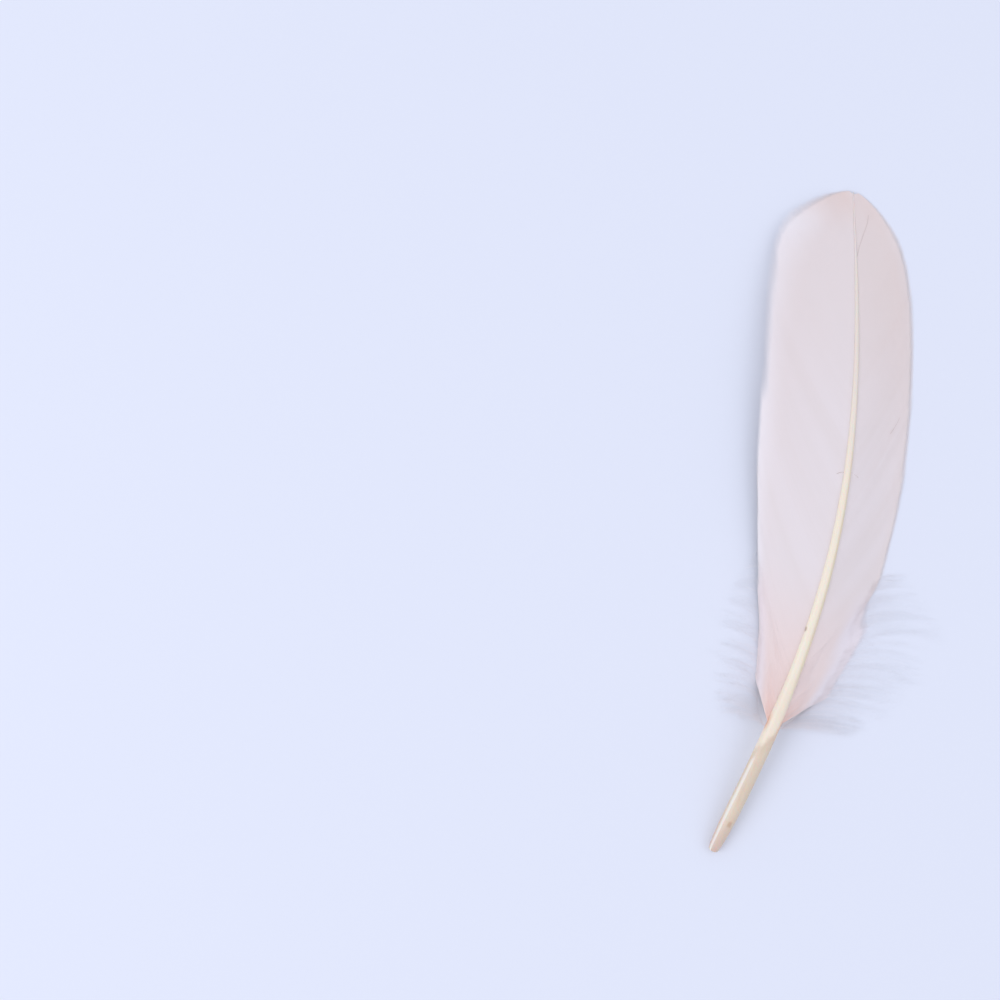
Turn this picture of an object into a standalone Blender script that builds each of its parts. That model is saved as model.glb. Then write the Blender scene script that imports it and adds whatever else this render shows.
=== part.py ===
"""A dyed goose quill feather, lying on a table with its rounded upper face up.

It has five pieces, as it would be stripped on a bench: the shaft (a hollow quill that runs on
as the solid rachis), the two vane strips of locked barbs, and the two tufts of down below them.

Frame: +Y from the quill's end to the feather's tip, +Z up, +X to the leading (narrow) vane,
origin at the middle of the base of the bounding box. Units are metres; MM turns millimetres
into metres.
"""

import math

import bmesh
import bpy
from mathutils import Vector

MM = 0.001

# Driving dimensions
LENGTH = 170 * MM        # quill end to tip, in a straight line
BOW = 13 * MM            # how far the shaft bows towards the leading side
ARCH = 6.6 * MM          # how far the middle of the shaft stands up
ARCH_SKEW = 0.85         # below 1, the arch peaks nearer the quill than the tip
QUILL_END_Z = 1.085 * MM  # height of the shaft's centre at the quill end, which touches the table
TIP_Z = 0.5 * MM         # and at the tip
GAP = 0.5 * MM           # space between the shaft and what grows from it

# Shaft
QUILL_RADIUS = 1.95 * MM
QUILL_END_RADIUS = 1.05 * MM
QUILL_SWELL = 15 * MM    # the quill reaches its full radius this far from its end
QUILL_SWELL_POWER = 0.5  # below 1, it swells soonest at its end
NECK_START = 26 * MM     # the quill narrows into the rachis between these two
NECK_END = 46 * MM
RACHIS_RADIUS = 1.5 * MM
TIP_RADIUS = 0.14 * MM
SHAFT_POINTS = 60
END_POINTS = [0.25 * MM, 0.8 * MM]  # further points, where the quill's end rounds off
WELD_DISTANCE = 0.001 * MM
SHAFT_RESOLUTION = 4     # of the round section: 12 sides

# The hollow of the quill, open at its end: (distance from the end, radius)
HOLLOW = [
    (-1.0 * MM, 0.5 * MM),
    (1.6 * MM, 0.5 * MM),
    (4.0 * MM, 1.1 * MM),
    (10.0 * MM, 1.45 * MM),
    (18.0 * MM, 1.55 * MM),
    (25.0 * MM, 1.5 * MM),
    (31.0 * MM, 0.9 * MM),
    (33.0 * MM, 0.3 * MM),
]

# Vanes and down, by the place on the shaft that their barbs grow from
DOWN_START = 33 * MM
LEADING_VANE_START = 48.5 * MM
TRAILING_VANE_START = 46 * MM
BARB_END = 168.8 * MM
BARB_GAP = 1 * MM        # along the shaft, between the last downy barb and the first firm one
VANE_THICKNESS = 0.5 * MM
ATTACH_RISE = 0.1 * MM   # the barbs grow from a little above the middle of the shaft
ADVANCE_POWER = 0.6      # low barbs reach less far forward than high ones
VANE_BEND = (0.68, 0.5)  # where a barb bends between its root and its tip: (across, along)
DOWN_BEND = (0.49, 0.45)

# Half-width of each vane, measured from the shaft: (distance from the quill end, width).
# Past the last point the margin closes in a round, which is a little pointed at the tip.
LEADING_WIDTHS = [
    (33 * MM, 3.0 * MM),
    (43 * MM, 8.0 * MM),
    (52 * MM, 10.0 * MM),
    (66 * MM, 11.0 * MM),
    (78 * MM, 13.8 * MM),
    (86 * MM, 14.8 * MM),
    (100 * MM, 15.4 * MM),
]
TRAILING_WIDTHS = [
    (33 * MM, 4.6 * MM),
    (50 * MM, 8.4 * MM),
    (71 * MM, 15.4 * MM),
    (86 * MM, 19.8 * MM),
    (99 * MM, 22.6 * MM),
    (112 * MM, 23.6 * MM),
]
LEADING_ROUND = 5.8      # the power of each round
TRAILING_ROUND = 4.6
LEADING_POINT = 0.30     # how much the tip narrows from a round end
TRAILING_POINT = 0.36
POINT_START = 158 * MM
LEADING_REACH = 0.70     # how far forward a barb reaches, as a share of the way to the tip
TRAILING_REACH = 0.91

# Heights of the margins
ACROSS = 12              # grid cells across a vane or tuft
FLAT_CELLS = 2           # of them, at the leading margin, lie flat on the table
LEADING_CAMBER = 1.6
TRAILING_CAMBER = 1.5
TRAILING_LIFT = 4.3 * MM
TRAILING_LIFT_START = 45 * MM
TRAILING_LIFT_SKEW = 1.5  # above 1, the lift peaks nearer the tip

# The tips of the downy barbs, from the lowest to the highest: (X from the chord, Y)
LEADING_DOWN_TIPS = [
    (31.0 * MM, 35.0 * MM),
    (38.5 * MM, 42.5 * MM),
    (45.4 * MM, 54.5 * MM),
    (44.8 * MM, 69.5 * MM),
    (34.5 * MM, 79.5 * MM),
]
TRAILING_DOWN_TIPS = [
    (-6.0 * MM, 33.5 * MM),
    (-11.0 * MM, 43.0 * MM),
    (-13.0 * MM, 54.0 * MM),
    (-11.5 * MM, 65.0 * MM),
    (-5.5 * MM, 73.5 * MM),
]
DOWN_THICKNESS = 2.4 * MM
DOWN_EDGE_SHARE = 0.3    # of the thickness, at the tuft's edges
DOWN_CAMBER = 1.3
PUFF_POWER = 0.7         # below 1, the tuft is thick until close to its edges

VANE_ALONG = 34          # grid cells along a vane
DOWN_ALONG = 12          # and along a tuft

QUILL_COLOUR = (0.83, 0.76, 0.62, 1)
VANE_COLOUR = (0.90, 0.77, 0.76, 1)
DOWN_COLOUR = (0.92, 0.82, 0.83, 1)
QUILL_ROUGHNESS = 0.35
VANE_ROUGHNESS = 0.7
DOWN_ROUGHNESS = 0.9


def smoothstep(low, high, value):
    share = min(1.0, max(0.0, (value - low) / (high - low)))
    return share * share * (3 - 2 * share)


def through(points, at):
    """The value at `at` of a smooth curve through (place, value) points."""
    places = [place for place, _ in points]
    values = [value for _, value in points]
    at = min(max(at, places[0]), places[-1])
    after = next(i for i in range(1, len(places)) if at <= places[i])
    span = places[after] - places[after - 1]
    share = (at - places[after - 1]) / span

    def slope(i):
        low, high = max(i - 1, 0), min(i + 1, len(places) - 1)
        return (values[high] - values[low]) / (places[high] - places[low])

    square, cube = share**2, share**3
    return (
        (2 * cube - 3 * square + 1) * values[after - 1]
        + (cube - 2 * square + share) * span * slope(after - 1)
        + (3 * square - 2 * cube) * values[after]
        + (cube - square) * span * slope(after)
    )


def shaft_centre(along):
    """The middle of the shaft at a distance along the chord, which may be just off its end."""
    share = along / LENGTH
    skewed = math.copysign(abs(share) ** ARCH_SKEW, share)
    height = QUILL_END_Z * (1 - share) + TIP_Z * share + ARCH * math.sin(math.pi * skewed)
    return Vector((BOW * math.sin(math.pi * share), along, height))


def shaft_radius(along):
    quill = QUILL_END_RADIUS + (QUILL_RADIUS - QUILL_END_RADIUS) * math.sin(
        math.pi / 2 * min(1.0, along / QUILL_SWELL) ** QUILL_SWELL_POWER
    )
    rachis = TIP_RADIUS + (RACHIS_RADIUS - TIP_RADIUS) * (LENGTH - along) / (LENGTH - NECK_END)
    neck = smoothstep(NECK_START, NECK_END, along)
    return quill * (1 - neck) + rachis * neck


def vane_width(side, along):
    """Half-width of the leading (side 1) or trailing (side -1) vane at a distance along."""
    widths, power, point = (
        (LEADING_WIDTHS, LEADING_ROUND, LEADING_POINT)
        if side > 0
        else (TRAILING_WIDTHS, TRAILING_ROUND, TRAILING_POINT)
    )
    last, widest = widths[-1]
    if along <= last:
        return through(widths, along)
    closing = ((along - last) / (LENGTH - last)) ** power
    near_tip = max(0.0, (along - POINT_START) / (LENGTH - POINT_START))
    return widest * math.sqrt(max(0.0, 1 - closing)) * (1 - point * near_tip**2)


def margin_height(side, along):
    """Height of the vane's underside at its margin."""
    if side > 0 or along <= TRAILING_LIFT_START:
        return 0.0
    share = (along - TRAILING_LIFT_START) / (LENGTH - TRAILING_LIFT_START)
    return TRAILING_LIFT * math.sin(math.pi * share**TRAILING_LIFT_SKEW)


def barb_root(side, root):
    """Where the barb that grows at `root` meets the shaft, with the gap between pieces."""
    start = shaft_centre(root)
    start.x += side * (shaft_radius(root) + GAP)
    start.z += ATTACH_RISE
    return start


def bent(start, end, bend, share):
    """The plan of a barb: a curve from start to end, pulled to a bend between them."""
    across, along = bend
    corner = Vector(
        (start.x + (end.x - start.x) * across, start.y + (end.y - start.y) * along)
    )
    back = 1 - share
    return back * back * start.xy + 2 * share * back * corner + share * share * end.xy


def vane_point(side, root, share):
    """The upper face of a vane: `share` of the way along the barb that grows at `root`."""
    start = barb_root(side, root)
    reach = LEADING_REACH if side > 0 else TRAILING_REACH
    up_the_vane = (root - DOWN_START) / (LENGTH - DOWN_START)
    tip_along = root + (LENGTH - root) * reach * up_the_vane**ADVANCE_POWER
    tip = shaft_centre(tip_along)
    tip.x += side * vane_width(side, tip_along)
    tip.z = margin_height(side, tip_along) + VANE_THICKNESS
    plan = bent(start, tip, VANE_BEND, share)
    if side > 0:
        fall = min(1.0, share * ACROSS / (ACROSS - FLAT_CELLS)) ** LEADING_CAMBER
    else:
        fall = share**TRAILING_CAMBER
    return Vector((plan.x, plan.y, start.z + (tip.z - start.z) * fall))


def down_point(side, root, share, up_the_tuft):
    """The upper face of a tuft of down, which reaches the tips of its barbs."""
    start = barb_root(side, root)
    tips = LEADING_DOWN_TIPS if side > 0 else TRAILING_DOWN_TIPS
    places = [i / (len(tips) - 1) for i in range(len(tips))]
    tip = Vector([through(list(zip(places, row)), up_the_tuft) for row in zip(*tips)])
    plan = bent(start, tip, DOWN_BEND, share)
    floor = DOWN_THICKNESS * DOWN_EDGE_SHARE
    lowest = floor + (DOWN_THICKNESS - floor) * puff(share, up_the_tuft)
    height = start.z + (floor - start.z) * share ** (1 / DOWN_CAMBER)
    return Vector((plan.x, plan.y, max(height, lowest)))


def puff(share, up_the_tuft):
    """0 at the edges of a tuft and 1 in its middle."""
    return (math.sin(math.pi * share) * math.sin(math.pi * up_the_tuft)) ** PUFF_POWER


def material(name, colour, roughness):
    made = bpy.data.materials.new(name)
    made.use_nodes = True
    shader = made.node_tree.nodes["Principled BSDF"]
    shader.inputs["Base Color"].default_value = colour
    shader.inputs["Roughness"].default_value = roughness
    made.diffuse_color = colour
    return made


def collection(name):
    made = bpy.data.collections.new(name)
    bpy.context.scene.collection.children.link(made)
    return made


def link(obj, group, finish):
    group.objects.link(obj)
    if finish:
        obj.data.materials.append(finish)
    return obj


def round_bar(name, rows, group):
    """A bar of round section through (point, radius) rows, as a mesh with welded ends."""
    curve = bpy.data.curves.new(name, "CURVE")
    curve.dimensions = "3D"
    curve.bevel_depth = 1
    curve.bevel_resolution = SHAFT_RESOLUTION
    curve.use_fill_caps = True
    spline = curve.splines.new("POLY")
    spline.points.add(len(rows) - 1)
    for point, (place, radius) in zip(spline.points, rows):
        point.co = (*place, 1)
        point.radius = radius
    bar = bpy.data.objects.new(name + "_curve", curve)
    group.objects.link(bar)
    evaluated = bar.evaluated_get(bpy.context.evaluated_depsgraph_get())
    mesh = bpy.data.meshes.new_from_object(evaluated)
    bpy.data.objects.remove(bar)
    shape = bmesh.new()
    shape.from_mesh(mesh)
    bmesh.ops.remove_doubles(shape, verts=shape.verts, dist=WELD_DISTANCE)
    bmesh.ops.recalc_face_normals(shape, faces=shape.faces)
    shape.to_mesh(mesh)
    shape.free()
    return bpy.data.objects.new(name, mesh)


def shaft(group, cutters, finish):
    """The hollow quill and the rachis, one tapering bar whose end is bored."""
    places = [LENGTH * i / (SHAFT_POINTS - 1) for i in range(SHAFT_POINTS)]
    places[1:1] = END_POINTS
    rows = [(shaft_centre(along), shaft_radius(along)) for along in places]
    bar = link(round_bar("shaft", rows, group), group, finish)
    bore = [(shaft_centre(along), radius) for along, radius in HOLLOW]
    cutter = link(round_bar("quill_hollow", bore, cutters), cutters, None)
    cutter.hide_render = True
    cutter.display_type = "WIRE"
    cut = bar.modifiers.new("hollow", "BOOLEAN")
    cut.operation = "DIFFERENCE"
    cut.object = cutter
    cut.solver = "EXACT"
    bar.data.shade_smooth()
    return [bar, cutter]


def sheet(name, group, finish, cells_along, place, side):
    """An open grid laid by place(share across, share along), facing up."""
    shape = bmesh.new()
    bmesh.ops.create_grid(shape, x_segments=ACROSS, y_segments=cells_along, size=0.5)
    shares = {}
    for vertex in shape.verts:
        shares[vertex.index] = (vertex.co.x + 0.5, vertex.co.y + 0.5)
        vertex.co = place(*shares[vertex.index])
    if side < 0:
        bmesh.ops.reverse_faces(shape, faces=shape.faces)
    mesh = bpy.data.meshes.new(name)
    shape.to_mesh(mesh)
    shape.free()
    mesh.shade_smooth()
    return link(bpy.data.objects.new(name, mesh), group, finish), shares


def thicken(obj, thickness):
    shell = obj.modifiers.new("thickness", "SOLIDIFY")
    shell.thickness = thickness
    shell.offset = -1
    shell.use_even_offset = True
    return shell


def vane(name, side, first_root, group, finish):
    """A vane strip: barbs locked side by side in one thin curved plate."""

    def place(across, along):
        return vane_point(side, first_root + (BARB_END - first_root) * along, across)

    made, _ = sheet(name, group, finish, VANE_ALONG, place, side)
    thicken(made, VANE_THICKNESS)
    return made


def down(name, side, last_root, group, finish):
    """A tuft of down: a soft body, thick in its middle, that fills the space of its barbs."""

    def place(across, along):
        return down_point(side, DOWN_START + (last_root - DOWN_START) * along, across, along)

    made, shares = sheet(name, group, finish, DOWN_ALONG, place, side)
    body = made.vertex_groups.new(name="puff")
    for index, (across, along) in shares.items():
        body.add([index], puff(across, along), "REPLACE")
    shell = thicken(made, DOWN_THICKNESS)
    shell.vertex_group = body.name
    shell.thickness_vertex_group = DOWN_EDGE_SHARE
    return made


def clear_scene():
    for obj in list(bpy.data.objects):
        bpy.data.objects.remove(obj)


def centre_on_base(objects):
    """Parents the pieces to an empty that puts the middle of their base at the origin."""
    graph = bpy.context.evaluated_depsgraph_get()
    corners = [
        Vector(corner)
        for obj in objects
        for corner in obj.evaluated_get(graph).bound_box
    ]
    low = Vector([min(c[axis] for c in corners) for axis in range(3)])
    high = Vector([max(c[axis] for c in corners) for axis in range(3)])
    holder = bpy.data.objects.new("feather", None)
    bpy.context.scene.collection.objects.link(holder)
    holder.location = (-(low.x + high.x) / 2, -(low.y + high.y) / 2, -low.z)
    return holder


def main():
    clear_scene()
    parts = collection("goose_quill_feather")
    cutters = collection("cutters")
    keratin = material("quill_keratin", QUILL_COLOUR, QUILL_ROUGHNESS)
    barbs = material("vane_barbs", VANE_COLOUR, VANE_ROUGHNESS)
    fluff = material("down_fluff", DOWN_COLOUR, DOWN_ROUGHNESS)
    pieces = [
        vane("leading_vane", 1, LEADING_VANE_START, parts, barbs),
        vane("trailing_vane", -1, TRAILING_VANE_START, parts, barbs),
        down("leading_down", 1, LEADING_VANE_START - BARB_GAP, parts, fluff),
        down("trailing_down", -1, TRAILING_VANE_START - BARB_GAP, parts, fluff),
    ]
    bar, cutter = shaft(parts, cutters, keratin)
    bpy.context.view_layer.update()
    holder = centre_on_base([*pieces, bar])
    for obj in [*pieces, bar, cutter]:
        obj.parent = holder
    bpy.context.view_layer.update()


main()
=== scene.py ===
"""The looks of a dyed goose quill feather: its shaft, every barb, its down, its light and table.

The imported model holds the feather's size and place. This script works in the feather's own
chord frame, with the same driving dimensions as the model, and moves what it makes to where
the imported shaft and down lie. In the chord frame y runs from the quill's end to the tip, x
points to the leading vane, and z is up from the table.
"""

import math

import bpy
import numpy as np
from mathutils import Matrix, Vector


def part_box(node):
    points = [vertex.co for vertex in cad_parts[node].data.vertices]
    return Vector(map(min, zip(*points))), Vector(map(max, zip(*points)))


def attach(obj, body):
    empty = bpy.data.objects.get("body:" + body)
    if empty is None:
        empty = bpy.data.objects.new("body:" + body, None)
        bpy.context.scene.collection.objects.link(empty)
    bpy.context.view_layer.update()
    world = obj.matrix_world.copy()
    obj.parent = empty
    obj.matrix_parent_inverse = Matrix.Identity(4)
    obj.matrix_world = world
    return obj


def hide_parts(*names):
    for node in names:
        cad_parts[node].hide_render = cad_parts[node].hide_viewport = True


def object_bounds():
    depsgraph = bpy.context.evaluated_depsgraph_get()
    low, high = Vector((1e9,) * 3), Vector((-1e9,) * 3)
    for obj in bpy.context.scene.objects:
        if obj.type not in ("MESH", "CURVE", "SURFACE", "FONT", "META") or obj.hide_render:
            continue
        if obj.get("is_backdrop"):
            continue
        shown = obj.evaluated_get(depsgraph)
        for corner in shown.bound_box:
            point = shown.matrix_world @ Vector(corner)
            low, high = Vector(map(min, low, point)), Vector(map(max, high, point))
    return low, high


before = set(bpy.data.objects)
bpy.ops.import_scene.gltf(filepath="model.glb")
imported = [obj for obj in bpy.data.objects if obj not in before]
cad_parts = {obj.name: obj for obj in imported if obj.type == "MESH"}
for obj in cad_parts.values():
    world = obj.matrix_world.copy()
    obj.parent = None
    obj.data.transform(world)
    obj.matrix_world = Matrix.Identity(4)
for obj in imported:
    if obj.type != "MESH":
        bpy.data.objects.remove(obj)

CAD_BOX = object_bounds()
MM = 0.001

# ---------------------------------------------------------------- driving dimensions

LENGTH = 170 * MM
BOW = 13 * MM
ARCH = 6.6 * MM
ARCH_SKEW = 0.85
QUILL_END_Z = 1.085 * MM
TIP_Z = 0.5 * MM

QUILL_RADIUS = 1.95 * MM
QUILL_END_RADIUS = 1.05 * MM
QUILL_SWELL = 15 * MM
NECK_START = 26 * MM
NECK_END = 46 * MM
RACHIS_RADIUS = 1.5 * MM
TIP_RADIUS = 0.14 * MM
# The quill's hollow: distance from its end, and radius, in millimetres
HOLLOW = [(0, 0.5), (1.6, 0.5), (4, 1.1), (10, 1.45), (18, 1.55), (25, 1.5), (31, 0.9), (33, 0.3)]
RIM_ROUNDING = 0.3 * MM
GROOVE_START = 38 * MM
GROOVE_FULL = 50 * MM
GROOVE_DEPTH = 0.45      # of the shaft's radius, along the underside of the rachis
GROOVE_WIDTH = 0.30      # of the shaft's radius
SHAFT_SQUARENESS = 2.25   # exponent of the rachis's section, where 2 is round

DOWN_START = 33 * MM
VANE_START = 35.2 * MM
VANE_END = 169.2 * MM
ADVANCE_POWER = 0.6
VANE_BEND = (0.68, 0.5)

LEADING, TRAILING = 1, -1
# Widths of the vanes from the shaft's middle, by distance from the quill's end, in millimetres
WIDTHS = {
    LEADING: [(33, 3.0), (43, 8.0), (52, 10.0), (66, 11.0), (78, 13.8), (86, 14.8), (100, 15.4)],
    TRAILING: [(33, 4.6), (50, 8.4), (71, 15.4), (86, 19.8), (99, 22.6), (112, 23.6)],
}
ROUND_POWER = {LEADING: 5.8, TRAILING: 4.6}
TIP_POINT = {LEADING: 0.30, TRAILING: 0.36}  # how much the tip narrows from a round end
TIP_POINT_START = 158 * MM
REACH = {LEADING: 0.70, TRAILING: 0.91}
CAMBER = {LEADING: 1.15, TRAILING: 1.5}
SETTLE = {LEADING: 1.7, TRAILING: 1.0}  # above 1, the vane flattens out toward its margin
TRAILING_LIFT = 4.3 * MM
TRAILING_LIFT_START = 45 * MM
TRAILING_LIFT_SKEW = 1.5
MARGIN_Z = 0.16 * MM

BARBS = 330              # on each side
BARB_STATIONS = 23
BARB_ROOT = (0.92, 0.10)  # across and up from the shaft's middle, in radii
BARB_OVERLAP = 0.54      # half a barb's width, of the distance to the next barb
RIDGE_WIDTH = 0.16       # half a barb's ridge, of that distance
RIDGE_HEIGHT = 0.045 * MM
RIDGE_STEEPEST = 0.4     # the ridge's height where barbs are crowded, of that distance
KEEL_DEPTH = 0.12 * MM   # no deeper than that distance
BARB_REACH = 1.018       # the barbs' fine tips run past the firm margin
BARB_RAGGED = 0.014      # how much the barbs' lengths differ
BARB_TAPER = (0.80, 0.88)  # share of a barb where it starts to narrow, low on the vane and high
LOOSE_ROOT = (60 * MM, 38 * MM)  # barbs rooted below the first end loose, most of all at the second
LOOSE_REACH = {LEADING: 0.20, TRAILING: 0.10}  # how much further than the margin the loosest run
LOOSE_RAGGED = {LEADING: 0.12, TRAILING: 0.08}
LOOSE_SPREAD = 0.15 * MM  # how far their ends wander
LOOSE_LEAN = {LEADING: 2.4 * MM, TRAILING: 1.0 * MM}  # how far they are moved outward at the margin
LEAN_LEAST = 0.5         # of that, for the barbs that lean least
BARB_FLOOR = 0.14 * MM   # the lowest that a barb's middle lies, before it waves
LOOSE_OVERLAP = 1.6      # their webs' width at the tip, in firm barbs' webs
TAPER_DEPTH = 0.92       # of a barb's width, lost by its tip
TAPER_POWER = 1.3        # above 1, it is lost late
# The trailing barbs rooted between these narrow earlier, by this share of their length
THIN_MARGIN = (72 * MM, 112 * MM, 0.10)
THIN_EASE = 8 * MM
NOTCH_ROOT = 76 * MM     # the trailing margin steps in above this barb's end
NOTCH_DEPTH = 0.022      # of the barb's length
NOTCH_STEP = 2.5 * MM    # the roots over which it steps in
NOTCH_FADE = 12 * MM     # and those over which it fades out

# ---------------------------------------------------------------- smooth shapes


def smoothstep(low, high, value):
    share = np.clip((value - low) / (high - low), 0, 1)
    return share * share * (3 - 2 * share)


def through(points, at):
    """The values at `at` of a smooth curve through (place, value) points."""
    places, values = np.array(points, float).T
    slopes = np.gradient(values, places)
    at = np.clip(at, places[0], places[-1])
    after = np.clip(np.searchsorted(places, at), 1, len(places) - 1)
    span = places[after] - places[after - 1]
    share = (at - places[after - 1]) / span
    square, cube = share**2, share**3
    return (
        (2 * cube - 3 * square + 1) * values[after - 1]
        + (cube - 2 * square + share) * span * slopes[after - 1]
        + (3 * square - 2 * cube) * values[after]
        + (cube - square) * span * slopes[after]
    )


def stack(*columns):
    return np.stack(np.broadcast_arrays(*columns), -1)


def length(vectors):
    return np.linalg.norm(vectors, axis=-1, keepdims=True)


def unit(vectors):
    return vectors / np.maximum(length(vectors), 1e-12)


def bent(start, corner, end, share):
    """A curve that leaves `start` toward `corner` and arrives at `end` from it."""
    back = 1 - share
    return back**2 * start + 2 * share * back * corner + share**2 * end


# ---------------------------------------------------------------- the feather's form


def shaft_centre(along):
    share = np.asarray(along, float) / LENGTH
    skewed = np.clip(share, 0, 1) ** ARCH_SKEW
    height = QUILL_END_Z * (1 - share) + TIP_Z * share + ARCH * np.sin(math.pi * skewed)
    return stack(BOW * np.sin(math.pi * share), share * LENGTH, height)


def shaft_radius(along):
    along = np.asarray(along, float)
    swell = np.sin(math.pi / 2 * np.sqrt(np.clip(along / QUILL_SWELL, 0, 1)))
    quill = QUILL_END_RADIUS + (QUILL_RADIUS - QUILL_END_RADIUS) * swell
    taper = (LENGTH - along) / (LENGTH - NECK_END)
    rachis = TIP_RADIUS + (RACHIS_RADIUS - TIP_RADIUS) * taper
    neck = smoothstep(NECK_START, NECK_END, along)
    return quill * (1 - neck) + rachis * neck


def vane_width(side, along):
    last, widest = WIDTHS[side][-1][0] * MM, WIDTHS[side][-1][1] * MM
    closing = np.clip((along - last) / (LENGTH - last), 0, 1) ** ROUND_POWER[side]
    lower = through(WIDTHS[side], along / MM) * MM
    near_tip = np.clip((along - TIP_POINT_START) / (LENGTH - TIP_POINT_START), 0, 1)
    point = 1 - TIP_POINT[side] * near_tip**2
    return np.where(along <= last, lower, widest * np.sqrt(1 - closing)) * point


def margin_height(side, along):
    if side == LEADING:
        return np.full_like(along, MARGIN_Z)
    share = np.clip((along - TRAILING_LIFT_START) / (LENGTH - TRAILING_LIFT_START), 0, 1)
    return MARGIN_Z + TRAILING_LIFT * np.sin(math.pi * share**TRAILING_LIFT_SKEW)


def barb_root(side, root):
    radius = shaft_radius(root)
    return shaft_centre(root) + stack(side * BARB_ROOT[0] * radius, 0, BARB_ROOT[1] * radius)


def barb_end(side, root):
    """Where the barb that grows at `root` meets the vane's margin."""
    up_the_vane = (root - DOWN_START) / (LENGTH - DOWN_START)
    along = root + (LENGTH - root) * REACH[side] * up_the_vane**ADVANCE_POWER
    end = shaft_centre(along)
    end[..., 0] += side * vane_width(side, along)
    end[..., 2] = margin_height(side, along)
    return end


def vane_surface(side, root, share):
    """Where the barb that grows at `root` is at `share` of its length."""
    start, end = barb_root(side, root), barb_end(side, root)
    corner = start + (end - start) * np.array([*VANE_BEND, 0])
    place = bent(start, corner, end, share[..., None])
    fall = 1 - np.clip(1 - share ** CAMBER[side], 0, 1) ** SETTLE[side]
    place[..., 2] = start[..., 2] + (end[..., 2] - start[..., 2]) * fall
    return place


# ---------------------------------------------------------------- meshes


def row_shift():
    """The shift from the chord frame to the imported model."""
    widest = BOW + float(shaft_radius(LENGTH / 2))
    return Vector((
        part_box("shaft")[1].x - widest,
        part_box("leading_down")[0].y - DOWN_START,
        0,
    ))


SHIFT = row_shift()


def mesh_object(name, points, faces, finish, numbers=None, sharp_angle=None):
    """An object from points and lists of faces, each an array of same-sized faces."""
    mesh = bpy.data.meshes.new(name)
    points = np.asarray(points, np.float32).reshape(-1, 3)
    mesh.vertices.add(len(points))
    mesh.vertices.foreach_set("co", points.ravel())
    corners = np.concatenate([rows.ravel() for rows in faces])
    sizes = np.concatenate([np.full(len(rows), rows.shape[1]) for rows in faces])
    mesh.loops.add(len(corners))
    mesh.loops.foreach_set("vertex_index", corners.astype(np.int32))
    mesh.polygons.add(len(sizes))
    starts = np.concatenate([[0], np.cumsum(sizes)[:-1]])
    mesh.polygons.foreach_set("loop_start", starts.astype(np.int32))
    mesh.update(calc_edges=True)
    mesh.shade_smooth()
    if sharp_angle:
        mesh.set_sharp_from_angle(angle=sharp_angle)
    for label, values in (numbers or {}).items():
        attribute = mesh.attributes.new(label, "FLOAT", "POINT")
        attribute.data.foreach_set("value", np.asarray(values, np.float32).ravel())
    obj = bpy.data.objects.new(name, mesh)
    bpy.context.scene.collection.objects.link(obj)
    obj.location = SHIFT
    mesh.materials.append(finish)
    return obj


def tube_faces(count, stations, sides, first=0):
    """Faces of `count` closed tubes, each of `stations` rings of `sides` points."""
    index = first + np.arange(count * stations * sides).reshape(count, stations, sides)
    after = np.roll(index, -1, axis=2)
    walls = np.stack([index[:, :-1], index[:, 1:], after[:, 1:], after[:, :-1]], -1)
    return [walls.reshape(-1, 4), index[:, 0], index[:, -1, ::-1]]


def ring_axes(path):
    """The direction of each path, and the level and upward directions across it."""
    forward = unit(np.gradient(path, axis=-2))
    right = unit(np.cross(forward, [0.0, 0.0, 1.0]))
    return forward, right, np.cross(right, forward)


def tubes(paths, radii, sides):
    """Rings of points round each path."""
    _, right, up = ring_axes(paths)
    angle = np.linspace(0, 2 * math.pi, sides, endpoint=False)[:, None]
    rings = right[..., None, :] * np.cos(angle) + up[..., None, :] * np.sin(angle)
    return paths[..., None, :] + rings * radii[..., None, None]


# ---------------------------------------------------------------- finishes


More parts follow.
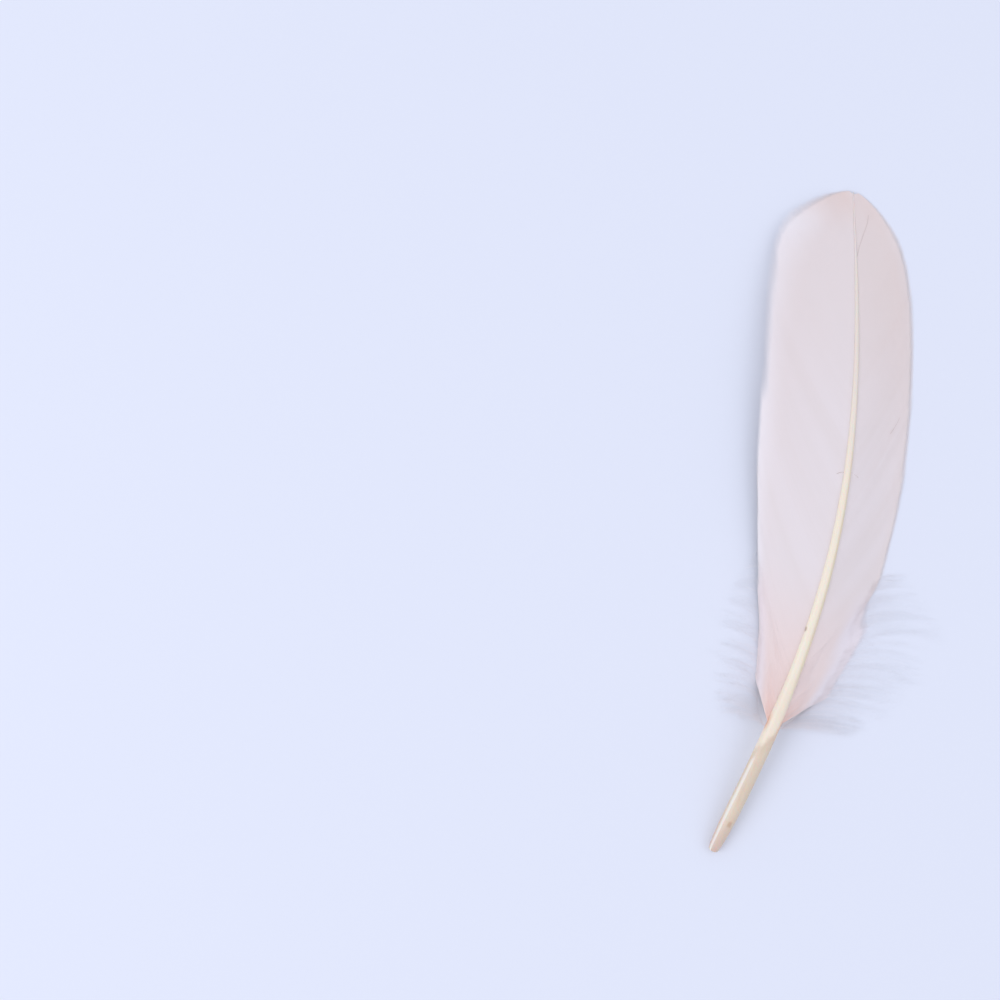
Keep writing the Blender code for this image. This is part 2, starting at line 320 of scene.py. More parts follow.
class Finish:
    """A material whose colours are worked out by nodes."""

    def __init__(self, name, **sockets):
        self.material = bpy.data.materials.new(name)
        self.material.use_nodes = True
        self.nodes = self.material.node_tree.nodes
        self.links = self.material.node_tree.links
        self.shader = self.nodes["Principled BSDF"]
        for socket, value in sockets.items():
            self.shader.inputs[socket.replace("_", " ")].default_value = value

    def put(self, socket, value):
        if hasattr(value, "links"):
            self.links.new(value, socket)
        else:
            socket.default_value = value

    def number(self, name):
        node = self.nodes.new("ShaderNodeAttribute")
        node.attribute_name = name
        return node.outputs["Fac"]

    def maths(self, operation, *values):
        node = self.nodes.new("ShaderNodeMath")
        node.operation = operation
        for socket, value in zip(node.inputs, values):
            self.put(socket, value)
        return node.outputs[0]

    def step(self, value, low, high, to_low=0.0, to_high=1.0):
        node = self.nodes.new("ShaderNodeMapRange")
        node.interpolation_type = "SMOOTHSTEP"
        for socket, setting in zip(node.inputs, (value, low, high, to_low, to_high)):
            self.put(socket, setting)
        return node.outputs[0]

    def mix(self, amount, first, second):
        node = self.nodes.new("ShaderNodeMix")
        node.data_type = "RGBA"
        self.put(node.inputs["Factor"], amount)
        self.put(node.inputs["A"], first if hasattr(first, "links") else (*first, 1))
        self.put(node.inputs["B"], second if hasattr(second, "links") else (*second, 1))
        return node.outputs["Result"]

    def noise(self, scale, stretch=(1, 1, 1), detail=2.0):
        place = self.nodes.new("ShaderNodeTexCoord")
        mapping = self.nodes.new("ShaderNodeMapping")
        mapping.inputs["Scale"].default_value = stretch
        self.links.new(place.outputs["Object"], mapping.inputs["Vector"])
        node = self.nodes.new("ShaderNodeTexNoise")
        node.inputs["Scale"].default_value = scale
        node.inputs["Detail"].default_value = detail
        self.links.new(mapping.outputs["Vector"], node.inputs["Vector"])
        return node.outputs["Fac"]

    def colour(self, value):
        self.put(self.shader.inputs["Base Color"], value)

    def times(self, first, second):
        return self.maths("MULTIPLY", first, second)

    def near(self, value, middle, outer, inner):
        """1 where `value` is within `inner` of the middle, falling to 0 at `outer`."""
        apart = self.maths("ABSOLUTE", self.maths("SUBTRACT", value, middle))
        return self.step(apart, outer, inner)

    def bump(self, height, distance, strength):
        node = self.nodes.new("ShaderNodeBump")
        node.inputs["Strength"].default_value = strength
        node.inputs["Distance"].default_value = distance
        self.links.new(height, node.inputs["Height"])
        self.links.new(node.outputs["Normal"], self.shader.inputs["Normal"])


# The quill's and rachis's colours. Places along the shaft are in millimetres from the quill's
# end. Places around it run from 1 on the leading side, through 0 on top and below, to -1 on the
# trailing side. A pair of places is where a colour starts, and where it is full.
BARREL_TANS = ((0.70, 0.54, 0.37), (0.84, 0.69, 0.52))
# Painted shade: the barrel darkens toward its leading side, away from the stronger lamp
BARREL_PAINTED_SHADE = (0.70, 0.58, 0.42)
BARREL_END = (0.68, 0.50, 0.40)
BARREL_END_FADES = 12
# A painted highlight: a pale line along the barrel's trailing side, which shows on the underside as
# well
PAINTED_SHEEN = (0.98, 0.92, 0.80)
PAINTED_SHEEN_AROUND = (-0.92, -0.72, -0.62, -0.42)  # where it starts, is full, and fades out
FLECK = (0.55, 0.36, 0.20)
FLECK_PLACE = (8.0, 0.3)  # along and around
PITH_ROUGHNESS = 3.0     # millimetres over which the pith's edge is jagged
PITH_SLANT = -4.0        # millimetres; the pith starts higher up the shaft on the leading side
PITH_EDGE = (0.74, 0.59, 0.42)
PITH_EDGE_ALONG = (27.5, 32.0)
PITH = (0.91, 0.79, 0.60)
PITH_ALONG = (30.5, 34.0)
RACHIS_CREAMS = ((0.91, 0.80, 0.60), (0.95, 0.86, 0.67))
# Painted shade on the rachis's leading flank
RACHIS_PAINTED_SHADE = (0.76, 0.65, 0.43)
RACHIS_ALONG = (38, 52)
UPPER_RACHIS = (0.84, 0.74, 0.62)
UPPER_ALONG = (85, 135)
TIP_RACHIS = (0.84, 0.72, 0.64)
TIP_ALONG = (150, 156)
STAIN = (0.86, 0.46, 0.28)  # the dye that has gathered at the foot of the down
STAIN_ALONG = 34.8
SPOT = (0.42, 0.30, 0.20)
SPOT_PLACE = (59.6, -0.95)  # along and around
SPOT_FADES = (1.1, 3.4)  # how fast it fades along, by the millimetre, and around


def keratin_finish():
    """Cream rachis, and a tan translucent barrel with a wedge of opaque pith at its top; a painted
    highlight runs along the barrel's trailing side, and painted shade darkens the leading side of
    barrel and rachis.
    """
    made = Finish("quill_keratin", Roughness=0.36, Subsurface_Weight=0.2, Subsurface_Scale=0.001)
    along, around = made.number("along"), made.number("around")
    streaks = made.noise(520, (1, 0.05, 1))
    barrel = made.mix(streaks, *BARREL_TANS)
    # painted shade toward the barrel's leading side
    barrel = made.mix(made.step(around, 0.1, 0.95, 0, 0.6), barrel, BARREL_PAINTED_SHADE)
    barrel = made.mix(made.step(along, BARREL_END_FADES, 0, 0, 0.7), barrel, BARREL_END)
    # a painted highlight along the barrel's trailing side
    starts, full, fades, gone = PAINTED_SHEEN_AROUND
    painted_sheen = made.times(made.step(around, starts, full), made.step(around, gone, fades))
    barrel = made.mix(made.times(painted_sheen, 0.75), barrel, PAINTED_SHEEN)
    fleck = made.times(
        made.near(along, FLECK_PLACE[0], 1.1, 0.3), made.near(around, FLECK_PLACE[1], 0.4, 0.1)
    )
    barrel = made.mix(made.times(fleck, 0.6), barrel, FLECK)

    jagged = made.times(made.noise(700, detail=4.0), PITH_ROUGHNESS)
    edge = made.maths("ADD", made.times(around, PITH_SLANT), made.maths("ADD", along, jagged))
    whole = made.mix(made.step(edge, *PITH_EDGE_ALONG), barrel, PITH_EDGE)
    whole = made.mix(made.step(edge, *PITH_ALONG), whole, PITH)
    rachis = made.mix(streaks, *RACHIS_CREAMS)
    # painted shade on the rachis's leading flank
    rachis = made.mix(made.step(around, 0.10, 0.75, 0, 0.72), rachis, RACHIS_PAINTED_SHADE)
    upper = made.mix(made.step(along, *UPPER_ALONG), rachis, UPPER_RACHIS)
    upper = made.mix(made.step(along, *TIP_ALONG), upper, TIP_RACHIS)
    whole = made.mix(made.step(along, *RACHIS_ALONG), whole, upper)
    stained_sides = made.step(made.maths("ABSOLUTE", around), 0.55, 1.0, 0, 0.7)
    stain = made.times(made.near(along, STAIN_ALONG, 3.0, 0.5), stained_sides)
    whole = made.mix(stain, whole, STAIN)

    spot_along = made.times(made.maths("SUBTRACT", along, SPOT_PLACE[0]), SPOT_FADES[0])
    spot_around = made.times(made.maths("SUBTRACT", around, SPOT_PLACE[1]), SPOT_FADES[1])
    spot_square = made.maths(
        "ADD", made.times(spot_along, spot_along), made.times(spot_around, spot_around)
    )
    spot = made.step(made.maths("SQRT", spot_square), 1.0, 0.35, 0, 0.7)
    made.colour(made.mix(spot, whole, SPOT))
    made.bump(streaks, 0.00006, 0.4)
    return made.material


# The barbs' colours. HIGH is how far up the feather a point is and UP where its barb is rooted,
# both in shares of the feather's length, and OUT is its share of the barb's length. A pair is
# where a colour starts, and where it is full.
BARB_PINKS = ((0.900, 0.810, 0.760), (0.925, 0.840, 0.800))
BARB_PEACH = (0.89, 0.75, 0.675)
BARB_BASE = (0.95, 0.64, 0.51)
STRAY_BROWN = (0.50, 0.34, 0.26)
UPPER_HIGH = (0.55, 0.92)
PINK_HIGH = (0.46, 0.22)
LOW_RIM_HIGH = (0.44, 0.36)
LOW_RIM_OUT = (0.35, 0.75)
PEACH_HIGH = (0.93, 0.995)
BASE_UP = (0.25, 0.2)
BASE_OUT = (0.5, 0.0)


def barb_finish(name, upper, pink, rim, rim_from, low_rim):
    """Pale pink barbs: pinker low on the feather, peach at its tip, and a band along the margin
    that holds painted shade on the leading vane and painted light on the trailing vane.
    """
    made = Finish(
        name, Roughness=0.6, Sheen_Weight=0.12,
        Subsurface_Weight=0.12, Subsurface_Radius=(1, 1, 1), Subsurface_Scale=0.001,
    )
    up, out, high = made.number("up"), made.number("out"), made.number("high")
    vane = made.mix(made.number("lock"), *BARB_PINKS)
    vane = made.mix(made.step(high, *UPPER_HIGH), vane, upper)
    vane = made.mix(made.step(high, *PINK_HIGH), vane, pink)
    low = made.step(high, *LOW_RIM_HIGH)
    # the margin band: painted shade, warmer and darker, on the leading vane; painted light, paler,
    # on the trailing vane
    vane = made.mix(made.step(out, rim_from, 1.0), vane, made.mix(low, rim, low_rim))
    vane = made.mix(made.times(low, made.step(out, *LOW_RIM_OUT)), vane, low_rim)
    vane = made.mix(made.step(high, *PEACH_HIGH), vane, BARB_PEACH)
    base = made.times(made.step(up, *BASE_UP), made.step(out, *BASE_OUT))
    vane = made.mix(base, vane, BARB_BASE)
    made.colour(made.mix(made.number("brown"), vane, STRAY_BROWN))
    return made.material


DOWN_WHITES = ((0.993, 0.991, 0.991), (0.998, 0.997, 0.997))
DOWN_PINK = (0.996, 0.905, 0.875)


def down_finish():
    """White down that is pink near the shaft."""
    made = Finish("down_fluff", Roughness=0.8, Sheen_Weight=0.1)
    fluff = made.mix(made.number("luck"), *DOWN_WHITES)
    made.colour(made.mix(made.number("near"), fluff, DOWN_PINK))
    return made.material


# ---------------------------------------------------------------- vanes

WAVE_HEIGHT = 0.25 * MM
WAVE_START = 0.4         # the share of a barb by which it waves in full
# Over how many barbs chance drifts, for each thing that it changes
RAGGED_DRIFT = 3
LEAN_DRIFT = 5
WAVE_DRIFT = 7
WANDER_DRIFT = 2
LOCK_DRIFT = 5
DRIFT_SPREAD = 0.25      # the deviation of drifting chance, which stays from 0 to 1
BELL_REACH = 3           # the bell that smooths it is cut off this many drifts from its middle
LOCK_DRIFTS = 0.75       # how much of a barb's shade drifts; the rest is its own
SHARP_BARBS = math.radians(35)
STRAY_SIDES = 5
STRAY_CLEARANCE = 0.06 * MM
STRAY_NUMBERS = {"up": 0.6, "high": 0.6, "out": 0.0, "lock": 0.5}  # the vane's plain pink
STRAY_TAPER = 0.5        # of a stray fibre's radius, left at its last point
# Stray fibres that lie on the vanes: radius, how brown, and x and y of points, in millimetres.
# The first two are one hair that the rachis crosses, the third marks a crease near the tip,
# and the last is a barb that has sprung out of line.
STRAYS = {
    TRAILING: [
        (0.06, 0.75, [(9.9, 99.2), (10.6, 99.7), (11.3, 99.9), (12.0, 99.9)]),
    ],
    LEADING: [
        (0.06, 0.75, [(13.0, 100.3), (13.8, 100.2), (14.7, 99.9), (15.6, 99.4)]),
        (0.09, 0.42, [(4.1, 153.6), (4.2, 156.4), (4.6, 159.6), (5.1, 162.9), (5.0, 165.0)]),
        (0.06, 0.40, [(21.7, 112.1), (22.4, 113.6), (23.0, 115.2), (23.3, 116.6)]),
    ],
}


def loose_share(root):
    """0 for a firm barb, and 1 for the loosest."""
    return smoothstep(*LOOSE_ROOT, root)


def barb_paths(side, random):
    """Each barb's root, the shares of its length where it has points, and those points."""
    root = np.linspace(VANE_START, VANE_END, BARBS)[:, None]
    past = root - NOTCH_ROOT
    notch = -np.tanh(past / NOTCH_STEP) * np.exp(-np.abs(past) / NOTCH_FADE)
    full = BARB_REACH - BARB_RAGGED * random.random((BARBS, 1))
    shorter = LOOSE_RAGGED[side] * smooth_luck(random, BARBS, RAGGED_DRIFT)[:, None]
    full = full + loose_share(root) * (LOOSE_REACH[side] - shorter)
    if side == TRAILING:
        full = full + NOTCH_DEPTH * notch
    share = np.linspace(0, 1, BARB_STATIONS)[None, :]
    paths = vane_surface(side, root, share * full)
    lean = LEAN_LEAST + (1 - LEAN_LEAST) * smooth_luck(random, BARBS, LEAN_DRIFT)[:, None]
    paths[..., 0] += side * LOOSE_LEAN[side] * lean * loose_share(root) * (share * full) ** 3
    paths[..., 2] = np.maximum(paths[..., 2], BARB_FLOOR)
    return root, share, paths


def barb_frame(paths):
    """The directions across each barb, toward the next one, and up, and how far that is."""
    forward = unit(np.gradient(paths, axis=1))
    apart = np.gradient(paths, axis=0)
    apart -= (apart * forward).sum(-1, keepdims=True) * forward
    up = unit(np.cross(apart, forward))
    up *= np.sign(up[..., 2:3])
    return unit(apart), up, length(apart)


def taper(side, root, share):
    """How a barb narrows to its tip: from early on where it ends in down."""
    low, high = BARB_TAPER
    start = high + (low - high) * loose_share(root)
    if side == TRAILING:
        thin_from, thin_to, amount = THIN_MARGIN
        thin = smoothstep(thin_from, thin_from + THIN_EASE, root)
        start = start - amount * thin * smoothstep(thin_to + THIN_EASE, thin_to, root)
    return 1 - TAPER_DEPTH * smoothstep(start, 1, share) ** TAPER_POWER


def barb_rings(paths, across, up, spacing, narrow):
    """Closed six-point sections: a flat web on both sides of a ridge, with a keel below."""
    half = spacing * BARB_OVERLAP * narrow
    ridge = spacing * RIDGE_WIDTH * narrow
    tall = np.minimum(RIDGE_HEIGHT, RIDGE_STEEPEST * spacing) * narrow
    keel = np.minimum(KEEL_DEPTH, spacing) * narrow
    rows = [(-half, 0), (0, -keel), (half, 0), (ridge, 0), (0, tall), (-ridge, 0)]
    if np.cross(across, up)[0, 0] @ (paths[0, 1] - paths[0, 0]) > 0:
        rows = rows[::-1]
    return np.stack([paths + across * a + up * b for a, b in rows], 2)


def smooth_luck(random, count, reach):
    """Numbers from 0 to 1 that drift from one barb to the next, over `reach` barbs."""
    edge = BELL_REACH * reach
    steps = np.arange(-edge, edge + 1)
    bell = np.exp(-((steps / reach) ** 2))
    drift = np.convolve(random.normal(0, 1, count + 2 * edge), bell, "valid")
    return np.clip(0.5 + DRIFT_SPREAD * drift / drift.std(), 0, 1)


def stray_fibres(side, paths):
    """Tubes that lie on the vane, and how brown each one is."""
    tops = paths.reshape(-1, 3)
    for radius, brown, points in STRAYS[side]:
        line = np.array([(x * MM, y * MM, 0) for x, y in points])
        nearest = length(line[:, None, :2] - tops[None, :, :2])[..., 0].argmin(1)
        line[:, 2] = tops[nearest, 2] + STRAY_CLEARANCE
        radii = radius * MM * np.linspace(1, STRAY_TAPER, len(line))
        yield tubes(line[None], radii[None], STRAY_SIDES), brown


def barbs(name, side, seed, finish):
    """One vane's barbs, with the stray fibres that lie on them."""
    random = np.random.default_rng(seed)
    root, share, paths = barb_paths(side, random)
    across, up, spacing = barb_frame(paths)
    wave = smooth_luck(random, BARBS, WAVE_DRIFT)[:, None] - 0.5
    paths = paths + up * (WAVE_HEIGHT * wave * smoothstep(0, WAVE_START, share))[..., None]
    wander = smooth_luck(random, BARBS, WANDER_DRIFT)[:, None] - 0.5
    paths = paths + across * (LOOSE_SPREAD * wander * loose_share(root) * share**2)[..., None]
    narrow = taper(side, root, share)[..., None]
    spacing = spacing * (1 + (LOOSE_OVERLAP - 1) * loose_share(root) * share)[..., None]
    rings = barb_rings(paths, across, up, spacing, narrow)
    drifting = smooth_luck(random, BARBS, LOCK_DRIFT)[:, None]
    lock = LOCK_DRIFTS * drifting + (1 - LOCK_DRIFTS) * random.random((BARBS, 1))

    sides = rings.shape[2]
    spread = np.ones((BARBS, BARB_STATIONS))
    numbers = {
        "up": root / LENGTH * spread,
        "high": paths[..., 1] / LENGTH,
        "out": share * spread,
        "lock": lock * spread,
        "brown": 0 * spread,
    }
    numbers = {label: [np.repeat(values.ravel(), sides)] for label, values in numbers.items()}
    points, faces = [rings.reshape(-1, 3)], tube_faces(BARBS, BARB_STATIONS, sides)
    for stray, stray_brown in stray_fibres(side, paths):
        faces += tube_faces(1, stray.shape[1], STRAY_SIDES, sum(len(rows) for rows in points))
        points.append(stray.reshape(-1, 3))
        for label, value in {**STRAY_NUMBERS, "brown": stray_brown}.items():
            numbers[label].append(np.full(len(points[-1]), value))
    numbers = {label: np.concatenate(values) for label, values in numbers.items()}
    return mesh_object(name, np.concatenate(points), faces, finish, numbers, SHARP_BARBS)


# ---------------------------------------------------------------- down

FILAMENTS = {LEADING: 120, TRAILING: 66}
FIRM_STATIONS = 8        # along a filament's firm base
FILAMENT_STATIONS = 22   # and along the rest
FILAMENT_SIDES = 3
FILAMENT_RADIUS = 0.018 * MM
FILAMENT_TAPER = 0.8     # of its radius, lost by its tip
BARBULES = 190           # on each filament
BARBULE_LENGTH = 1.9 * MM
BARBULE_RADIUS = 0.0045 * MM
BARBULE_CROWDING = 0.92  # below 1, they stand further apart near the vane
BARBULE_SLANT = math.radians(48)
# Where the filaments grow along the shaft, in millimetres
DOWN_ROOTS = {LEADING: (33.4, 52.0), TRAILING: (33.4, 50.0)}
# Where the down's tips reach, across and along in millimetres, from the lowest to the highest
DOWN_TIPS = {
    LEADING: [(31, 35), (38.5, 42.5), (45.4, 54.5), (44.8, 69.5), (34.5, 79.5)],
    TRAILING: [(-6, 33.5), (-11, 43), (-13, 54), (-11.5, 65), (-5.5, 73.5)],
}
LOCKS = {LEADING: 13, TRAILING: 9}  # the filaments gather into this many locks
LOCK_HOLD = (0.1, 0.7)   # how closely
LOCK_PLACE = (0.1, 0.9)  # where each lock lies within its share of the tuft
LOCK_SCATTER = 0.02      # of the tuft
LOCK_SHORTEST = 0.82     # of the tuft's reach
FILAMENT_SHORTER = 0.45  # how much of its lock's reach a filament may lack
DOWN_ROOT_POWER = 2.4    # above 1, more of them grow low down
LOW_PLACES = 0.3         # the lowest filaments, up to here, leave the barbs early
DOWN_LEAVES = (0.10, 0.90)  # share of its firm base where a filament turns out, low and high
DOWN_CORNER = 0.42       # how far ahead it heads before it turns out, of the way to its tip
CORNER_RANGE = (0.6, 1.4)
DOWN_LOFT = 1.6 * MM
LOFT_LUCK = (0.25, 0.5)  # mean and deviation
TIP_HEIGHT = (0.2, 0.9)  # millimetres: the lowest, and how much higher a tip may lie
DOWN_FLOOR = 0.06 * MM
DOWN_TINT = (5 * MM, 24 * MM)  # pinkest this near the shaft, and pale beyond this
VANE_LAYERS = (-0.3 * MM, 0.12 * MM)  # the filaments' bases run below or on the firm barbs
LAYER_ODDS = (0.25, 0.75)
BARBULE_START = 0.02     # a filament is bare up to here, and
BARE_BASE = 0.72         # over this much of its firm base
BARBULE_END = 0.995      # the last barbules grow here
BARBULE_STEP = 0.01      # of a filament, over which its direction is read
BARBULE_ROLL = 0.55      # deviation from level, in radians
SLANT_SPREAD = 0.2
BARBULE_SHORT = 0.3      # of its length, at a filament's ends
BARBULE_SKEW = 0.8       # below 1, the longest are nearer the filament's foot
BARBULE_FULLNESS = 0.5   # below 1, more of them are nearly full length
BARBULE_RANGE = (0.6, 1.15)
BARBULE_FLOOR = (0.01 * MM, 0.02 * MM)  # the lowest that its foot and its tip lie


def tuft_paths(side, random):
    """The firm share of each filament's length, and the points along it."""
    count = FILAMENTS[side]
    place = (np.arange(count) + random.random(count)) / count
    low, high = DOWN_ROOTS[side]
    root = ((low + (high - low) * place**DOWN_ROOT_POWER) * MM)[:, None]
    late = smoothstep(0, LOW_PLACES, place)
    leave = DOWN_LEAVES[0] + (DOWN_LEAVES[1] - DOWN_LEAVES[0]) * late
    base = vane_surface(side, root, leave[:, None] * np.linspace(0, 1, FIRM_STATIONS)[None, :])
    layer = random.choice(VANE_LAYERS, count, p=LAYER_ODDS)
    base[..., 2] += (layer * late)[:, None]
    lock_count = LOCKS[side]
    locks = (np.arange(lock_count) + random.uniform(*LOCK_PLACE, lock_count)) / lock_count
    nearest = np.abs(place[:, None] - locks).argmin(1)
    hold = random.uniform(*LOCK_HOLD, count)
    gathered = place + (locks[nearest] - place) * hold + random.normal(0, LOCK_SCATTER, count)
    lock_reach = random.uniform(LOCK_SHORTEST, 1.0, lock_count)[nearest]
    reach = lock_reach * (1 - FILAMENT_SHORTER * random.random(count) ** 2)
    tips = np.array(DOWN_TIPS[side], float)
    steps = np.linspace(0, 1, len(tips))
    end_x = through(list(zip(steps, tips[:, 0])), gathered) * MM
    end_y = through(list(zip(steps, tips[:, 1])), gathered) * MM
    lowest, higher = TIP_HEIGHT
    end_z = (lowest + higher * random.random(count)) * MM
    start = base[:, -1]
    end = stack(end_x, end_y, end_z)
    end = start + (end - start) * stack(reach, reach, 1)
    heading = unit(base[:, -1] - base[:, -2])
    turn = DOWN_CORNER * random.uniform(*CORNER_RANGE, (count, 1))
    corner = start + heading * length(end - start) * turn
    corner[:, 2] = start[:, 2] + DOWN_LOFT * random.normal(*LOFT_LUCK, count)
    share = np.linspace(0, 1, FILAMENT_STATIONS)[None, 1:, None]
    free = bent(start[:, None], corner[:, None], end[:, None], share)
    paths = np.concatenate([base, free], 1)
    paths[..., 2] = np.maximum(paths[..., 2], DOWN_FLOOR)
    firm = length(np.diff(base, axis=1)).sum((1, 2)) / length(np.diff(paths, axis=1)).sum((1, 2))
    return firm, paths


def resample(paths, share):
    """Points at `share` of each path's length, measured along it."""
    steps = length(np.diff(paths, axis=1))[..., 0]
    far = np.concatenate([np.zeros((len(paths), 1)), np.cumsum(steps, 1)], 1)
    out = np.empty((len(paths), share.shape[1], 3))
    for row, (path, reached) in enumerate(zip(paths, far)):
        for axis in range(3):
            out[row, :, axis] = np.interp(share[row] * reached[-1], reached, path[:, axis])
    return out


def barbules(paths, firm, random):
    """Fine spikes along both sides of each filament, beyond its firm base."""
    count = len(paths)
    first = BARBULE_START + BARE_BASE * firm[:, None]
    places = np.sort(random.random((count, BARBULES)) ** BARBULE_CROWDING, 1)
    share = first + (BARBULE_END - first) * places
    at = resample(paths, share)
    ahead = resample(paths, np.minimum(share + BARBULE_STEP, 1.0))
    behind = resample(paths, share - BARBULE_STEP)
    forward = unit(ahead - behind)
    right = unit(np.cross(forward, [0.0, 0.0, 1.0]))
    up = np.cross(right, forward)
    hand = np.where(np.arange(BARBULES) % 2, 1, -1)[None, :, None]
    roll = random.normal(0, BARBULE_ROLL, (count, BARBULES, 1))
    slant = BARBULE_SLANT + random.normal(0, SLANT_SPREAD, (count, BARBULES, 1))
    sideways = right * np.cos(roll) * hand + up * np.sin(roll)
    heading = forward * np.cos(slant) + sideways * np.sin(slant)
    grown = np.sin(math.pi * np.clip(share, 0, 1) ** BARBULE_SKEW) ** BARBULE_FULLNESS
    grown = BARBULE_SHORT + (1 - BARBULE_SHORT) * grown
    long = BARBULE_LENGTH * grown * random.uniform(*BARBULE_RANGE, (count, BARBULES))
    tip = at + heading * long[..., None]
    foot_floor, tip_floor = BARBULE_FLOOR
    tip[..., 2] = np.maximum(tip[..., 2], tip_floor)
    one = unit(np.cross(heading, forward))
    two = np.cross(heading, one)
    ring = [
        at + (one * math.cos(angle) + two * math.sin(angle)) * BARBULE_RADIUS
        for angle in (0, 2 * math.pi / 3, 4 * math.pi / 3)
    ]
    points = np.stack([*ring, tip], 2)
    points[..., 2] = np.maximum(points[..., 2], foot_floor)
    return points


def spike_faces(count, first):
    """Faces of closed spikes, each of three points round its foot and one at its tip."""
    base = first + 4 * np.arange(count)[:, None]
    return [base + np.array(corners) for corners in ((0, 1, 3), (1, 2, 3), (2, 0, 3), (2, 1, 0))]


def down(name, side, seed, finish):
    """One tuft: its filaments, and the barbules along them."""
    random = np.random.default_rng(seed)
    firm, paths = tuft_paths(side, random)
    share = np.linspace(0, 1, paths.shape[1])
    radii = FILAMENT_RADIUS * (1 - FILAMENT_TAPER * share) * np.ones((len(paths), 1))
    rings = tubes(paths, radii, FILAMENT_SIDES)
    spikes = barbules(paths, firm, random)
    points = np.concatenate([rings.reshape(-1, 3), spikes.reshape(-1, 3)])
    faces = tube_faces(len(paths), paths.shape[1], FILAMENT_SIDES)
    faces += spike_faces(spikes.shape[0] * spikes.shape[1], rings[..., 0].size)
    from_shaft = np.abs(points[:, 0] - shaft_centre(points[:, 1])[:, 0])
    near = 1 - smoothstep(DOWN_TINT[0], DOWN_TINT[1], from_shaft)
    luck = random.random(len(points))
    return mesh_object(name, points, faces, finish, {"near": near, "luck": luck})


# ---------------------------------------------------------------- shaft

SHAFT_SIDES = 28
SHAFT_STATIONS = 220
BORE_STATIONS = 34
BORE_MOUTH = 0.02 * MM
STATION_POWER = 1.15     # above 1, the stations are closer together at the quill's end
RIM_INWARD = 0.6         # how far the rim turns in, of its rounding
TIP_CLOSES = 1.5 * MM
TIP_SHARE = 0.15         # of the radius, left at the very tip
SQUARING = (30 * MM, 50 * MM)  # the section turns from round to squarish between these
SHARP_SHAFT = math.radians(50)


def shaft(name, finish):
    """One closed skin: from deep in the hollow to the quill's end, and then along to the tip."""
    hollow = np.array(HOLLOW, float) * MM
    inner_along = np.linspace(hollow[-1, 0], BORE_MOUTH, BORE_STATIONS)
    inner_radius = through(hollow, inner_along)
    along = LENGTH * np.linspace(0, 1, SHAFT_STATIONS) ** STATION_POWER
    radius = shaft_radius(along)
    rim = np.sqrt(np.clip(along / RIM_ROUNDING, 0, 1))
    radius = radius - (1 - rim) * RIM_ROUNDING * RIM_INWARD
    tip = smoothstep(LENGTH, LENGTH - TIP_CLOSES, along)
    radius *= TIP_SHARE + (1 - TIP_SHARE) * tip

    all_along = np.concatenate([inner_along, along])
    all_radius = np.concatenate([inner_radius, radius])
    rachis = np.concatenate([np.zeros_like(inner_along), smoothstep(*SQUARING, along)])
    centre = shaft_centre(all_along)
    forward = unit(shaft_centre(all_along + 0.1 * MM) - shaft_centre(all_along - 0.1 * MM))
    right = unit(np.cross(forward, [0.0, 0.0, 1.0]))
    up = np.cross(right, forward)
    angle = np.linspace(0, 2 * math.pi, SHAFT_SIDES, endpoint=False) + math.pi / 2
    power = (2 / (2 + (SHAFT_SQUARENESS - 2) * rachis))[:, None]
    level = np.sign(np.cos(angle)) * np.abs(np.cos(angle)) ** power
    height = np.sign(np.sin(angle)) * np.abs(np.sin(angle)) ** power
    groove = GROOVE_DEPTH * smoothstep(GROOVE_START, GROOVE_FULL, all_along)[:, None]
    groove = groove * np.exp(-((level / GROOVE_WIDTH) ** 2)) * (height < 0)
    size = all_radius[:, None, None]
    points = centre[:, None] + size * (
        right[:, None] * level[..., None] + up[:, None] * (height + groove)[..., None]
    )
    numbers = {"along": np.repeat(all_along / MM, SHAFT_SIDES), "around": level}
    faces = tube_faces(1, len(all_along), SHAFT_SIDES)
    return mesh_object(name, points, faces, finish, numbers, SHARP_SHAFT)


# ---------------------------------------------------------------- stage, light and camera

CHORD_LEAN = math.radians(12.09)  # from the view's up to the chord, clockwise
VIEW_CENTRE = (-70.9 * MM, 75.2 * MM)  # in the chord frame
VIEW_WIDTH = 252.6 * MM
LENS = 85
TABLE_COLOUR = (0.80, 0.82, 0.86)
TABLE_SIZE = 8
LAMP_SIZE = 1.0
LAMP_COLOUR = (0.875, 0.885, 1)
# Each lamp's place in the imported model's frame, in metres, and its power in watts
LAMPS = {
    "left_light": ((-0.95, -0.35, 1.0), 5.6),
    "right_light": ((0.95, 0.1, 1.0), 2.4),
}
SKY_COLOUR = (0.82, 0.855, 1)
SKY_STRENGTH = 0.862


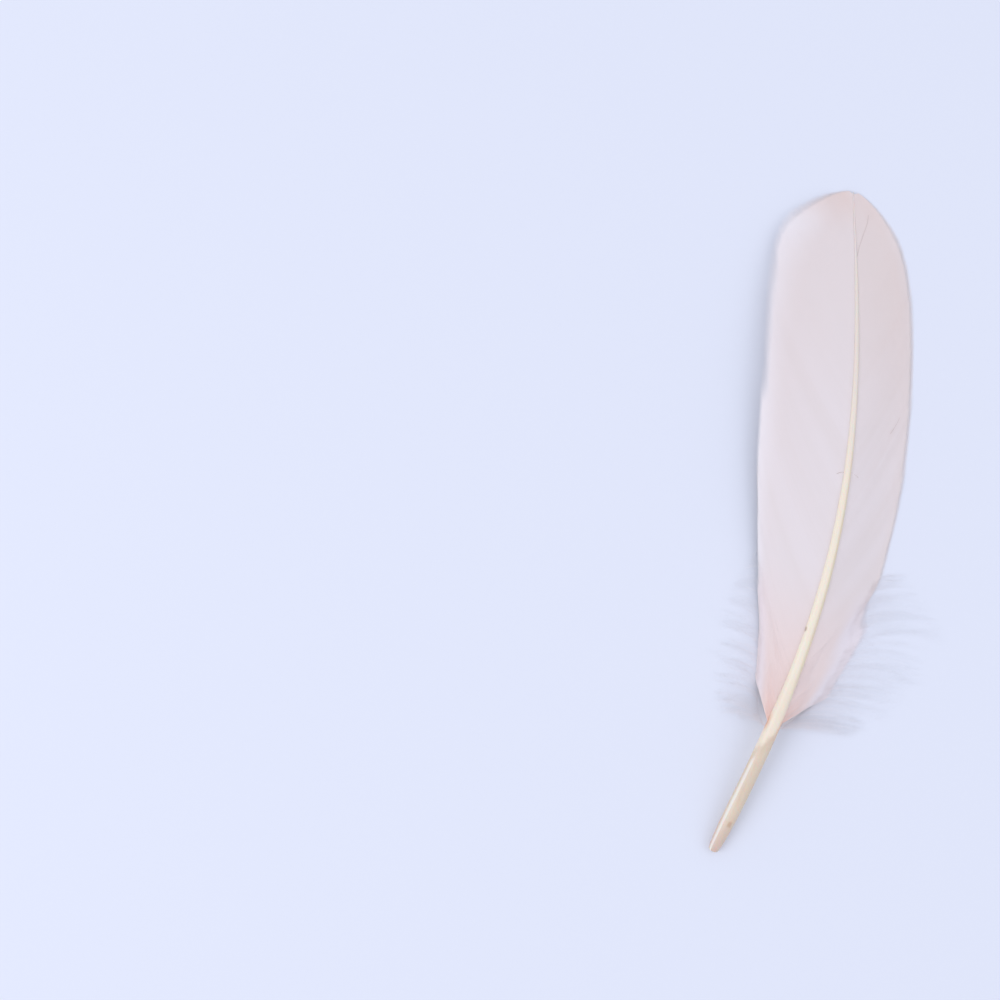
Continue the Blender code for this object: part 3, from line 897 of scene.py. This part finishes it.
def stage():
    bpy.ops.mesh.primitive_plane_add(size=TABLE_SIZE)
    floor = bpy.context.object
    floor.name = "floor"
    table = Finish("table", Roughness=0.55)
    table.colour((*TABLE_COLOUR, 1))
    floor.data.materials.append(table.material)
    floor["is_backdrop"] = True


def area_light(name, place, power):
    """A round lamp that is aimed at the origin."""
    data = bpy.data.lights.new(name, "AREA")
    data.shape = "DISK"
    data.size = LAMP_SIZE
    data.energy = power
    data.color = LAMP_COLOUR
    light = bpy.data.objects.new(name, data)
    light.location = place
    light.rotation_euler = (-Vector(place)).to_track_quat("-Z", "Y").to_euler()
    bpy.context.scene.collection.objects.link(light)


def lights():
    for name, (place, power) in LAMPS.items():
        area_light(name, place, power)
    world = bpy.data.worlds.new("studio")
    world.use_nodes = True
    background = world.node_tree.nodes["Background"]
    background.inputs["Color"].default_value = (*SKY_COLOUR, 1)
    background.inputs["Strength"].default_value = SKY_STRENGTH
    bpy.context.scene.world = world
    bpy.context.scene.view_settings.view_transform = "Standard"


def camera():
    data = bpy.data.cameras.new("camera")
    data.lens = LENS
    data.clip_start = 0.01
    made = bpy.data.objects.new("camera", data)
    far = VIEW_WIDTH * data.lens / data.sensor_width
    made.location = (SHIFT.x + VIEW_CENTRE[0], SHIFT.y + VIEW_CENTRE[1], far)
    made.rotation_euler = (0, 0, CHORD_LEAN)
    bpy.context.scene.collection.objects.link(made)
    bpy.context.scene.camera = made


def add(obj, node):
    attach(obj, "root")
    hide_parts(node)


stage()
lights()
camera()
add(shaft("quill_and_rachis", keratin_finish()), "shaft")
leading_finish = barb_finish(
    "leading_vane_barbs",
    upper=(0.885, 0.768, 0.700),
    pink=(0.98, 0.80, 0.72),
    # painted shade with a warm tint along the margin, where the vane turns away from the light
    rim=(0.89, 0.795, 0.74),
    rim_from=0.72,
    low_rim=(0.95, 0.875, 0.87),
)
trailing_finish = barb_finish(
    "trailing_vane_barbs",
    upper=(0.900, 0.800, 0.745),
    pink=(0.945, 0.745, 0.655),
    # painted light along the margin, where the raised vane faces the light
    rim=(0.97, 0.91, 0.88),
    rim_from=0.55,
    low_rim=(0.96, 0.83, 0.79),
)
for name, side, seed, finish, node in (
    ("leading_barbs", LEADING, 11, leading_finish, "leading_vane"),
    ("trailing_barbs", TRAILING, 12, trailing_finish, "trailing_vane"),
):
    add(barbs(name, side, seed, finish), node)
fluff_finish = down_finish()
add(down("leading_fluff", LEADING, 21, fluff_finish), "leading_down")
add(down("trailing_fluff", TRAILING, 22, fluff_finish), "trailing_down")

visual_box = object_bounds()
[[list(corner) for corner in box] for box in (CAD_BOX, visual_box)]
